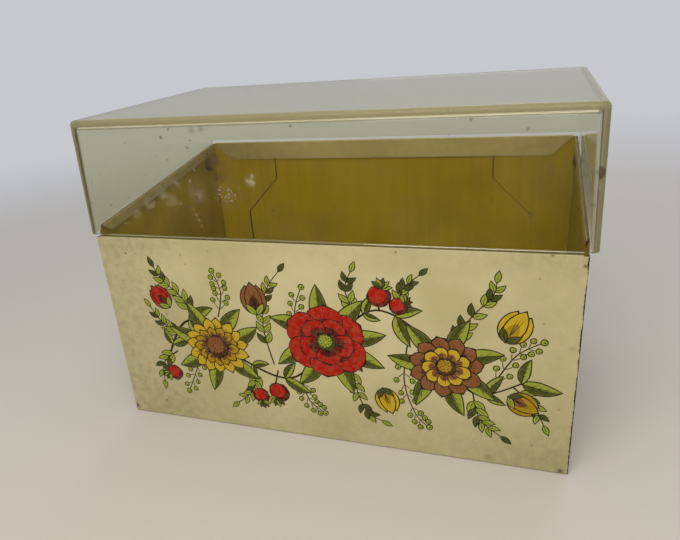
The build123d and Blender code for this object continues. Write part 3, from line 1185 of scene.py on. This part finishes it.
@dataclass
class Garland:
    """A printed running garland of blossoms, leaves and berries on the front wall.

    Its shapes are laid one over another as a printer would draw them, and then cut into one
    film in which each ink stops where the next begins.
    """

    sizes: TinSizes
    line: float = 0.338  # width of the black line round a shape
    film: float = 0.02  # how thick the ink lies
    weld: float = 0.004  # vertices nearer than this are merged
    stem_steps: int = 8  # straight runs between two places of a stem
    stem_lap: float = 0.05  # how far each run reaches over the next
    seed: int = 23
    name: str = "printed_garland"
    patches: list[Patch] = field(default_factory=list)
    draw: random.Random = field(init=False)

    def __post_init__(self) -> None:
        """Starts the drawing's own run of random numbers."""
        self.draw = random.Random(self.seed)

    def lay(self, ring: Ring, ink: Ink) -> None:
        """Lays one shape over the others, turned so that its outline goes round to the left."""
        area = sum(a[0] * b[1] - b[0] * a[1] for a, b in zip(ring, ring[1:] + ring[:1]))
        self.patches.append(Patch(ring if area > 0 else ring[::-1], ink))

    def stroke(self, foot: Spot, angle: float, length: float,
               width: float = 0.3, bend: float = 0.0, ink: Ink = Ink.KEY) -> None:
        """Lays one pen stroke that tapers to both ends."""
        self.lay(Blade(foot, angle, length, width, bend, swell=0.7, steps=4).ring(), ink)

    def dot(self, centre: Spot, radius: float, ink: Ink, sides: int = 10) -> None:
        """Lays a round dot, a little uneven as if drawn by hand."""
        turn = self.draw.uniform(0, 1)
        ring = []
        for i in range(sides):
            way = 2 * math.pi * (i + turn) / sides
            ring.append(off(centre, radius * self.draw.uniform(0.94, 1.06), way))
        self.lay(ring, ink)

    def stem(self, places: Sequence[Spot], thick: float, thin: float) -> list:
        """Lays a smooth stem through some places.

        Args:
            places: what it goes through, in order.
            thick: its width where it begins.
            thin: its width where it ends.

        Returns:
            Points along it, each with its heading in degrees.
        """
        padded = [places[0], *places, places[-1]]
        line = []
        for a, b, c, d in zip(padded, padded[1:], padded[2:], padded[3:]):
            for i in range(self.stem_steps):
                t = i / self.stem_steps
                line.append(
                    tuple(
                        0.5 * (2 * q + (r - p) * t + (2 * p - 5 * q + 4 * r - s) * t * t
                               + (3 * q - p - 3 * r + s) * t**3)
                        for p, q, r, s in zip(a, b, c, d)
                    )
                )
        line.append(tuple(places[-1]))
        walked = []
        for i, (a, b) in enumerate(zip(line, line[1:])):
            heading = math.atan2(b[1] - a[1], b[0] - a[0])
            width = thick + (thin - thick) * i / len(line)
            side = (-math.sin(heading) * width / 2, math.cos(heading) * width / 2)
            lap = (math.cos(heading) * self.stem_lap, math.sin(heading) * self.stem_lap)
            corners = ((a, -1, -1), (b, -1, 1), (b, 1, 1), (a, 1, -1))
            ring = [
                (p[0] + s * side[0] + t * lap[0], p[1] + s * side[1] + t * lap[1])
                for p, s, t in corners
            ]
            self.lay(ring, Ink.KEY)
            walked.append((a, math.degrees(heading)))
        return walked

    def leaf(self, foot: Spot, angle: float, length: float,
             bend: float = 0.0, plump: float = 0.36) -> None:
        """Lays a pointed leaf: black line, light green, one side in shade, and pen veins."""
        blade = Blade(foot, angle, length, length * plump, bend, swell=0.8, blunt=0.85)
        side = 1 if self.draw.random() < 0.5 else -1
        self.lay(blade.ring(grow=self.line), Ink.KEY)
        self.lay(blade.ring(), Ink.LEAF)
        self.lay(blade.ring(*sorted((0.08 * side, 0.96 * side))), Ink.SHADE)
        self.stroke(foot, angle, length * 0.93, 0.26, bend)
        if length > 5:
            for share in (0.25, 0.42, 0.6):
                x, z, heading = blade.middle(share)
                for way in (-1, 1):
                    open_to = math.degrees(heading) + way * 38
                    self.stroke((x, z), open_to, blade.width * 0.42, 0.17, -way * 14)

    def sprig(self, places: Sequence[Spot], leaves: int, length: float,
              berries: bool = False) -> None:
        """Lays a small sprig: a thin stem with pairs of little leaves, or with berries.

        Args:
            places: what the stem goes through.
            leaves: how many pairs.
            length: how long the first leaves are, in millimetres.
            berries: whether round berries stand on short stalks instead.
        """
        walked = self.stem(places, 0.42, 0.22)
        tip, heading = walked[-1]
        for i in range(leaves):
            share = 0.22 + 0.7 * i / leaves
            (x, z), way = walked[int(share * (len(walked) - 1))]
            size = length * (1.1 - 0.5 * share)
            for side in (-1, 1):
                open_by = side * self.draw.uniform(38, 58)
                if berries:
                    self.stroke((x, z), way + open_by, size, 0.24, -side * 20)
                    turn = math.radians(way + open_by - side * 10)
                    self.berry(off((x, z), size, turn), 0.62)
                else:
                    self.small_leaf((x, z), way + open_by, size, -side * 25)
        if berries:
            self.berry(tip, 0.7)
        else:
            self.small_leaf(tip, heading, length * 0.75, 0)

    def small_leaf(self, foot: Spot, angle: float, length: float,
                   bend: float) -> None:
        """Lays a little leaf: a black line and one green."""
        blade = Blade(foot, angle, length, length * 0.42, bend, swell=0.85, blunt=0.85, steps=6)
        self.lay(blade.ring(grow=self.line * 0.8), Ink.KEY)
        self.lay(blade.ring(), Ink.LEAF if self.draw.random() < 0.62 else Ink.SHADE)
        self.stroke(foot, angle, length * 0.8, 0.18, bend)

    def berry(self, centre: Spot, radius: float, ink: Ink = Ink.LEAF) -> None:
        """Lays a small round berry with a dark calyx dot."""
        self.dot(centre, radius + self.line * 0.8, Ink.KEY)
        self.dot(centre, radius, ink)
        self.dot((centre[0] + radius * 0.25, centre[1] - radius * 0.2), radius * 0.35, Ink.KEY, 7)

    def hip(self, centre: Spot, radius: float, angle: float) -> None:
        """Lays a plump red hip with a dark side, a light spot and a crown of sepals."""
        self.dot(centre, radius + self.line, Ink.KEY, 20)
        self.dot(centre, radius, Ink.DEEP_RED, 20)
        shade = (centre[0] - radius * 0.16, centre[1] + radius * 0.16)
        self.dot(shade, radius * 0.8, Ink.RED, 18)
        crown = off(centre, radius * 0.85, math.radians(angle))
        for i in range(5):
            self.small_leaf(crown, angle + (i - 2) * 34, radius * 0.95, 0)

    def petal(self, blade: Blade, fill: Ink, shade: Ink, veins: int) -> None:
        """Lays one petal: black line, fill, a shaded foot, and pen veins from the foot.

        Args:
            blade: its shape.
            fill: its main ink.
            shade: the ink of its foot.
            veins: how many pen strokes fan out from the foot.
        """
        self.lay(blade.ring(grow=self.line), Ink.KEY)
        self.lay(blade.ring(), fill)
        foot = replace(blade, length=blade.length * 0.62, width=blade.width * 0.72, steps=6)
        self.lay(foot.ring(), shade)
        for i in range(veins):
            lean = (i - (veins - 1) / 2) * 44 / max(veins, 1) * blade.width / blade.length
            reach = blade.length * self.draw.uniform(0.55, 0.78)
            self.stroke(blade.middle(0.12)[:2], blade.angle + lean, reach, 0.2, blade.bend)

    def ring_of(self, centre: Spot, count: int, inner: float, length: float,
                width: float, inks: tuple[Ink, Ink], turn: float, blunt: float = 0.55,
                squash: float = 1.0, veins: int = 3) -> None:
        """Lays a ring of petals, seen a little from the side.

        Args:
            centre: the middle of the blossom.
            count: how many petals.
            inner: how far from the middle they start.
            length: how long they are.
            width: how wide they are.
            inks: fill and shade.
            turn: degrees to the first petal.
            blunt: how round their tips are.
            squash: height over width of the whole ring.
            veins: pen strokes on each.
        """
        for i in range(count):
            angle = turn + 360 * i / count + self.draw.uniform(-3, 3)
            way = math.radians(angle)
            flat_way = math.degrees(math.atan2(math.sin(way) * squash, math.cos(way)))
            reach = math.hypot(math.cos(way), math.sin(way) * squash)
            grown = length * reach * self.draw.uniform(0.94, 1.05)
            bend = self.draw.uniform(-10, 10)
            foot = off(centre, inner, way, squash)
            blade = Blade(foot, flat_way, grown, width, bend, swell=1.35, blunt=blunt, steps=9)
            self.petal(blade, *inks, veins)

    def eye(self, centre: Spot, radius: float, inks: tuple[Ink, Ink],
            seeds: int) -> None:
        """Lays a blossom's round middle, stippled in rings."""
        self.dot(centre, radius + self.line, Ink.KEY, 22)
        self.dot(centre, radius, inks[1], 22)
        self.dot((centre[0] - radius * 0.1, centre[1] + radius * 0.12), radius * 0.78, inks[0], 20)
        for ring in (0.86, 0.6, 0.34):
            count = max(4, int(seeds * ring))
            for i in range(count):
                way = 2 * math.pi * (i + ring) / count
                self.dot(off(centre, radius * ring, way), 0.2, Ink.KEY, 6)

    def tulip(self, foot: Spot, angle: float, length: float,
              inks: tuple[Ink, Ink]) -> None:
        """Lays a half-open bell of three petals."""
        for lean, share in ((26, 0.92), (-26, 0.92), (0, 1.0)):
            shape = (length * share, length * 0.5, -lean * 1.1)
            self.petal(Blade(foot, angle + lean, *shape, swell=0.9, blunt=0.7), *inks, 3)
        for lean in (-50, 50):
            self.small_leaf(foot, angle + lean, length * 0.42, -lean * 0.4)

    def compose(self) -> None:
        """Draws the whole garland: stems and sprigs first, then leaves, and blossoms on top."""
        # The running stem, in three waves.
        vine = self.stem(
            [(-50, 22), (-40, 36), (-25, 25), (-9, 20), (4, 33), (17, 44), (31, 36),
             (42, 22), (55, 27)],
            0.75, 0.4,
        )
        self.sprig([(-38, 36), (-41, 43), (-47, 49), (-49, 53)], 6, 4.2)
        self.sprig([(-43, 31), (-49, 34), (-53, 40)], 4, 3.8)
        self.sprig([(-30, 38), (-28, 46), (-30, 53)], 5, 3.4, True)
        self.sprig([(-14, 24), (-16, 36), (-14, 47), (-9, 54)], 7, 3.8)
        self.sprig([(-3, 26), (-6, 40), (-3, 50)], 5, 3.6, True)
        self.sprig([(12, 41), (9, 49), (11, 55)], 4, 3.8)
        self.sprig([(24, 44), (24, 50), (29, 55)], 5, 3.4)
        self.sprig([(36, 31), (40, 42), (46, 50), (47, 54)], 6, 3.9)
        self.sprig([(46, 23), (52, 34), (59, 39)], 5, 3.6, True)
        self.sprig([(-46, 25), (-52, 20), (-53, 13)], 4, 4.0)
        self.sprig([(-36, 31), (-40, 20), (-45, 10)], 6, 3.6, True)
        self.sprig([(-20, 22), (-22, 14), (-28, 8.5)], 5, 3.8)
        self.sprig([(-6, 21), (-4, 13), (1, 9)], 5, 3.4, True)
        self.sprig([(10, 36), (10, 22), (13, 12), (18, 9)], 7, 3.7)
        self.sprig([(26, 40), (24, 24), (27, 13), (31, 9)], 7, 3.5, True)
        self.sprig([(42, 22), (44, 14), (50, 9)], 5, 4.0)
        self.sprig([(52, 25), (57, 20), (60, 14)], 4, 3.8)
        # Leaves in pairs along the running stem.
        for i, ((x, z), heading) in enumerate(vine[3::5]):
            side = 1 if i % 2 else -1
            size = 7.2 + 2.2 * math.sin(i * 1.7)
            self.leaf((x, z), heading + side * 48, size, side * -22)
            self.leaf((x, z), heading - side * 62, size * 0.75, side * 26)
        # Leaves that frame the large blossoms.
        for centre, reach, ways in (
            ((-32, 28), 11.5, (20, 62, 118, 165, 215, 262, 318)),
            ((2.5, 33), 12.5, (12, 55, 100, 150, 205, 250, 300, 340)),
            ((35, 29), 11.0, (28, 75, 130, 178, 225, 280, 330)),
        ):
            for way in ways:
                foot = off(centre, reach * 0.45, math.radians(way))
                self.leaf(foot, way + self.draw.uniform(-8, 8), reach * 0.92,
                          self.draw.uniform(-25, 25), 0.4)
        # Side blossoms and fruit.
        self.stem([(-13, 22), (-15, 15)], 0.5, 0.4)
        self.stem([(18, 44), (17, 49)], 0.5, 0.4)
        self.tulip((-17.5, 40), 96, 9.5, (Ink.RUSSET, Ink.UMBER))
        self.tulip((49.5, 38), 62, 9.5, (Ink.STRAW, Ink.OCHRE))
        self.tulip((51, 22), -28, 8.0, (Ink.OCHRE, Ink.RUSSET))
        self.tulip((-46, 40), 128, 8.0, (Ink.RED, Ink.DEEP_RED))
        self.tulip((18, 20), -72, 8.0, (Ink.STRAW, Ink.OCHRE))
        for x, z, radius, angle in (
            (-13.5, 14.5, 2.9, 250), (-19.5, 12.5, 2.4, 280), (18.0, 48.0, 2.9, 75),
            (23.0, 45.6, 2.2, 40), (-48.5, 17.0, 2.4, 200),
        ):
            self.hip((x, z), radius, angle)
        # The three large blossoms.
        self.ring_of((-32, 28), 15, 3.2, 7.0, 3.4, (Ink.STRAW, Ink.OCHRE), 8, 0.75, 0.9, 2)
        self.ring_of((-32, 28), 13, 2.6, 4.6, 2.8, (Ink.OCHRE, Ink.RUSSET), 20, 0.75, 0.9, 2)
        self.eye((-32, 28), 3.5, (Ink.RUSSET, Ink.UMBER), 22)
        self.ring_of((2.5, 33), 6, 1.6, 10.2, 10.0, (Ink.RED, Ink.DEEP_RED), 30, 0.42, 0.92, 6)
        self.ring_of((2.5, 33), 5, 1.2, 6.6, 6.8, (Ink.RED, Ink.DEEP_RED), 62, 0.42, 0.92, 5)
        self.eye((2.5, 33), 2.5, (Ink.LEAF, Ink.SHADE), 18)
        self.ring_of((35, 29), 11, 2.4, 7.2, 4.4, (Ink.RUSSET, Ink.UMBER), 4, 0.5, 0.92, 3)
        self.ring_of((35, 29), 9, 1.8, 4.6, 3.4, (Ink.STRAW, Ink.RUSSET), 24, 0.5, 0.92, 2)
        self.eye((35, 29), 2.4, (Ink.OCHRE, Ink.UMBER), 16)

    def build(self) -> bpy.types.Object:
        """Cuts the drawing into one film of ink, and lays it on the front wall."""
        self.compose()
        points: list[Vector] = []
        rings: list[list[int]] = []
        for patch in self.patches:
            rings.append(list(range(len(points), len(points) + len(patch.ring))))
            points.extend(Vector(place) for place in patch.ring)
        flat_points, _, faces, _, _, owners = delaunay_2d_cdt(points, [], rings, 1, 1e-5)
        inked = [(face, max(under)) for face, under in zip(faces, owners) if under]
        faces = [face for face, _ in inked]
        face_y = self.sizes.front_face
        mesh = bpy.data.meshes.new(self.name)
        mesh.from_pydata([metres((p.x, face_y, p.y)) for p in flat_points], [], faces)
        inks = list(Ink)
        for polygon, (_, top) in zip(mesh.polygons, inked):
            polygon.material_index = inks.index(self.patches[top].ink)
        piece = bpy.data.objects.new(self.name, mesh)
        bpy.context.scene.collection.objects.link(piece)
        for ink in inks:
            mesh.materials.append(PrintingInk(f"offset_ink_{ink.name.lower()}", ink.value).make())
        use(piece)
        edit()
        select("VERT", "SELECT")
        bpy.ops.mesh.remove_doubles(threshold=self.weld * MM)
        bpy.ops.mesh.dissolve_degenerate(threshold=self.weld * MM)
        leave()
        mesh.update()
        if sum(polygon.normal.y for polygon in mesh.polygons) > 0:
            mesh.flip_normals()
        modify(piece, "SOLIDIFY", thickness=self.film * MM, offset=1)
        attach(piece, "tin")
        return piece


# ---------------------------------------------------------------- the lid


@dataclass
class ClearLid:
    """One clear moulding: its front stands on the rim, and its sides hang outside the tin."""

    sizes: TinSizes
    finish: bpy.types.Material
    height: float = 32.6
    half_width: float = 68.45
    depth: float = 78.2
    bottom: float = 62.0
    back_bottom: float = 75.4
    rim_wall: float = 1.1
    roof: float = 1.8
    draft: float = 1.1
    core_draft: float = 1.85
    edge: float = 1.35
    inner_edge: float = 1.1
    segments: int = 6
    rim_break: float = 0.28
    rim_segments: int = 3
    past: float = 5.0  # how far a cutter reaches below and behind the lid
    cutter_half: float = 80.0  # half the heel cutter's width, more than the lid's
    drill: float = 200.0  # how long the round cutters are
    heel: float = 5.0
    pin_hole: float = 1.23
    name: str = "clear_polystyrene_lid"

    def drafted(self, half_width: float, half_depth: float, height: float, draft: float,
                edge: float, name: str) -> bpy.types.Object:
        """Makes a box that leans in as it rises, with round edges and an open bottom.

        Args:
            half_width: half its width at the bottom.
            half_depth: half its depth at the bottom.
            height: how high it is.
            draft: how many degrees each side leans in.
            edge: radius of its upright and top edges.
            name: what to call it.

        Returns:
            The open shell.
        """
        top = self.bottom + height
        piece = block((-half_width, -half_depth, self.bottom), (half_width, half_depth, top), name)
        lean = height * math.tan(math.radians(draft))
        edit()
        pick(lambda v: near(v.z, top))
        narrower = ((half_width - lean) / half_width, (half_depth - lean) / half_depth, 1)
        bpy.ops.transform.resize(value=narrower)
        pick_edges(lambda v: True, lambda a, b: max(a.z, b.z) > self.bottom + 1)
        round_edges(edge, self.segments)
        select("FACE")
        shape = bmesh.from_edit_mesh(piece.data)
        for face in shape.faces:
            face.select_set(face.normal.z < -0.9)
        bmesh.update_edit_mesh(piece.data)
        bpy.ops.mesh.delete(type="ONLY_FACE")
        leave()
        return piece

    def build(self) -> bpy.types.Object:
        """Moulds the shell, opens its back, and rounds its rim."""
        sizes = self.sizes
        half_depth = self.depth / 2
        core_half = self.half_width - self.rim_wall
        outer = self.drafted(
            self.half_width, half_depth, self.height, self.draft, self.edge, self.name
        )
        core = self.drafted(
            core_half, half_depth - self.rim_wall, self.height - self.roof, self.core_draft,
            self.inner_edge, "lid_core",
        )
        # Bridging reads which way the two shells face, so the core is turned inside out first.
        use(core)
        edit()
        select("VERT", "SELECT")
        bpy.ops.mesh.flip_normals()
        leave()
        use(outer)
        core.select_set(True)
        bpy.ops.object.join()
        edit()
        pick_edges(lambda v: near(v.z, self.bottom))
        bpy.ops.mesh.bridge_edge_loops()
        heal()
        select("EDGE")
        bpy.ops.mesh.edges_select_sharp(sharpness=math.radians(60))
        round_edges(self.rim_break, self.rim_segments)
        heal()
        leave()
        lean = (self.back_bottom - self.bottom) * math.tan(math.radians(self.core_draft))
        gap_half = core_half - lean
        # Each cutter reaches past the lid on its open sides.
        below, behind = self.bottom - self.past, half_depth + self.past
        gap = ((-gap_half, sizes.hinge_y, below), (gap_half, behind, self.back_bottom))
        carve(outer, block(*gap, "back_gap_cutter"))
        heel_y, heel_z = half_depth - self.heel, self.bottom + self.heel
        half = self.cutter_half
        heel = block((-half, heel_y, below), (half, behind, heel_z), "heel_cutter")
        carve(heel, rod((0, heel_y, heel_z), self.heel, self.drill, "heel_round"))
        carve(outer, heel)
        carve(outer, rod((0, sizes.hinge_y, sizes.hinge_z), self.pin_hole, self.drill, "pin_cutter"))
        outer.data.materials.clear()
        outer.data.materials.append(self.finish)
        smooth(outer, 34)
        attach(outer, "lid")
        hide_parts("clear_lid")
        return outer


# ---------------------------------------------------------------- the studio


@dataclass
class Studio:
    """A plain pale floor, soft lamps, and the camera at the photograph's angle."""

    width: int = 680
    height: int = 540
    focal_pixels: float = 602.13
    centre_x: float = 314.79
    centre_y: float = 279.86
    place: Place = (53.57, -175.50, 113.68)
    turn: Place = (66.922, 4.722, 19.102)  # degrees, XYZ
    floor_half: float = 2500.0
    aim: Place = (0.0, 0.0, 40.0)  # what the lamps look at
    key: tuple = ((15, -200, 270), 200, 0.7, "#fff6e8")  # place, size, watts and colour
    back: tuple = ((60, 620, 620), 600, 2.0, "#eef2ff")
    room_colour: str = "#dcdee2"
    room_strength: float = 0.75

    def camera(self) -> None:
        """Adds the camera, with its shift from the picture's own centre."""
        data = bpy.data.cameras.new("photo_camera")
        data.sensor_width = 36
        data.lens = self.focal_pixels / self.width * data.sensor_width
        data.shift_x = (self.width / 2 - self.centre_x) / self.width
        data.shift_y = (self.centre_y - self.height / 2) / self.width
        data.clip_start = 0.01
        camera = bpy.data.objects.new("photo_camera", data)
        camera.location = metres(self.place)
        camera.rotation_euler = [math.radians(angle) for angle in self.turn]
        bpy.context.scene.collection.objects.link(camera)
        bpy.context.scene.camera = camera

    def lamp(self, name: str, place: Place, size: float, power: float, colour: str) -> None:
        """Adds one soft square lamp that looks at the tin.

        Args:
            name: what to call it.
            place: where it hangs, in millimetres.
            size: its side in millimetres.
            power: in watts.
            colour: its hex colour.
        """
        data = bpy.data.lights.new(name, "AREA")
        data.size = size * MM
        data.energy = power
        data.color = linear(colour)[:3]
        lamp = bpy.data.objects.new(name, data)
        lamp.location = metres(place)
        aim = Vector(metres(self.aim)) - lamp.location
        lamp.rotation_euler = aim.to_track_quat("-Z", "Y").to_euler()
        bpy.context.scene.collection.objects.link(lamp)

    def room(self) -> None:
        """Adds a pale room that lights the tin evenly, as plain as the far floor."""
        world = bpy.data.worlds.new("pale_room")
        world.use_nodes = True
        world.node_tree.nodes.clear()
        node = partial(add, world.node_tree)
        lit = node("Background", {"Color": linear(self.room_colour), "Strength": self.room_strength})
        seen = node("Background", {"Color": linear(BACKDROP), "Strength": 1.0})
        path = node("LightPath").outputs
        rays = (path["Is Camera Ray"], path["Is Transmission Ray"])
        straight = node("Math", rays, operation="MAXIMUM")
        node("OutputWorld", {"Surface": node("MixShader", (straight, lit, seen))})
        bpy.context.scene.world = world

    def build(self) -> None:
        """Adds the floor, the world, the lamps and the camera."""
        deselect()
        bpy.ops.mesh.primitive_plane_add(size=2 * self.floor_half * MM)
        floor = bpy.context.object
        floor.name = "studio_floor"
        floor.data.materials.append(StudioCard().make())
        self.room()
        self.lamp("key_softbox", *self.key)
        self.lamp("back_softbox", *self.back)
        bpy.context.scene.view_settings.view_transform = "Standard"
        self.camera()


# ---------------------------------------------------------------- all of it


def main() -> None:
    """Builds the tin, its lid and its studio in order."""
    logging.basicConfig(level=logging.INFO, format="%(name)s: %(message)s")
    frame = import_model()
    sizes = TinSizes()
    sheared = OldMetal("sheared_tinplate_edge", "#6d6757", "#2b261d", (0.4, 0.7))
    finishes = (LithoTinplate().make(), LacqueredTinplate().make(), sheared.make())
    Studio().build()
    for maker in (
        FoldedWrap(sizes, finishes),
        EndPanel(sizes, finishes, -1),
        EndPanel(sizes, finishes, 1),
        Garland(sizes),
        ClearLid(sizes, ClearPolystyrene().make()),
    ):
        piece = maker.build()
        log.info("%s: %d faces", piece.name, len(piece.data.polygons))
    metal = OldMetal("headed_aluminium_aged", "#8c8677", "#3c362b", (0.3, 0.6), 0.5).make()
    for name in ("left_hinge_rivet", "right_hinge_rivet"):
        node = frame["nodes"][name]
        node.data.materials.clear()
        node.data.materials.append(metal)
        log.info("%s: the CAD's own solid, dressed", name)


if __name__ == "__main__":
    main()
